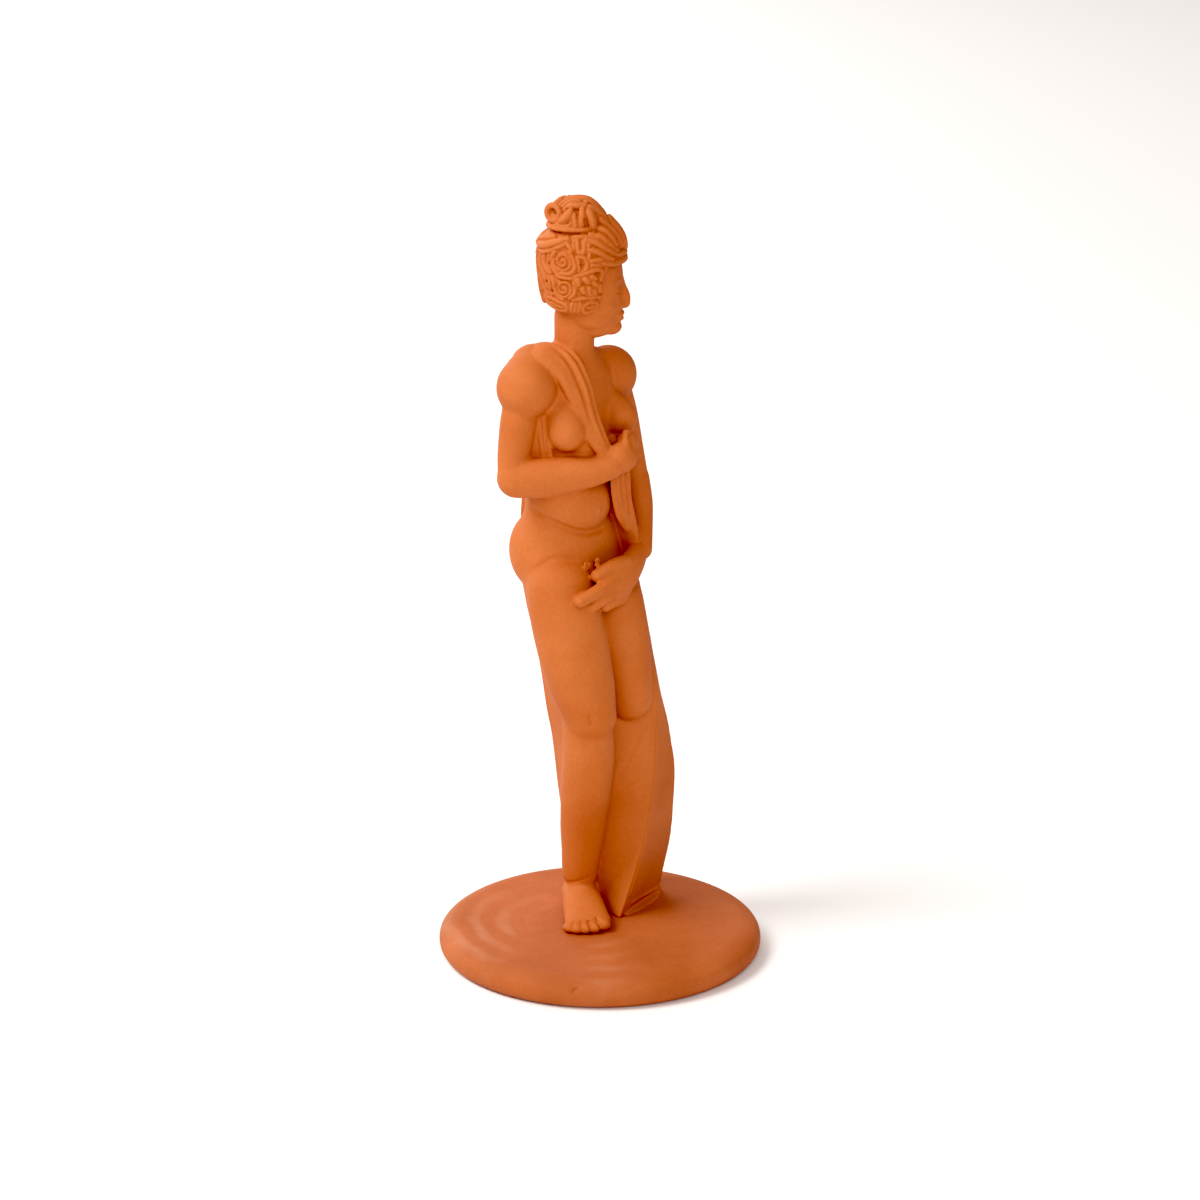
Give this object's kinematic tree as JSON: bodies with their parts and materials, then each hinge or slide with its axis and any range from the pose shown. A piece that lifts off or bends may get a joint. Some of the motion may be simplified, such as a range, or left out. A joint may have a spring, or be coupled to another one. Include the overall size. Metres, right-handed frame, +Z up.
{
  "type": "terracotta statuette",
  "caption": "Small unglazed terracotta figure of a standing woman with piled-up hair and a draped cloth that props the figure, on a round turned disc.",
  "frame": {"origin": "centre of the disc's underside", "axes": "+Z up; the figure's chest faces -Y and its left side is +X; the head is turned to its left"},
  "size_m": [0.092, 0.092, 0.218],
  "materials": {
    "figure_clay": "matte",
    "disc_clay": "matte"
  },
  "bodies": {
    "root": {"figure": "figure_clay", "base_disc": "disc_clay"}
  },
  "joints": []
}
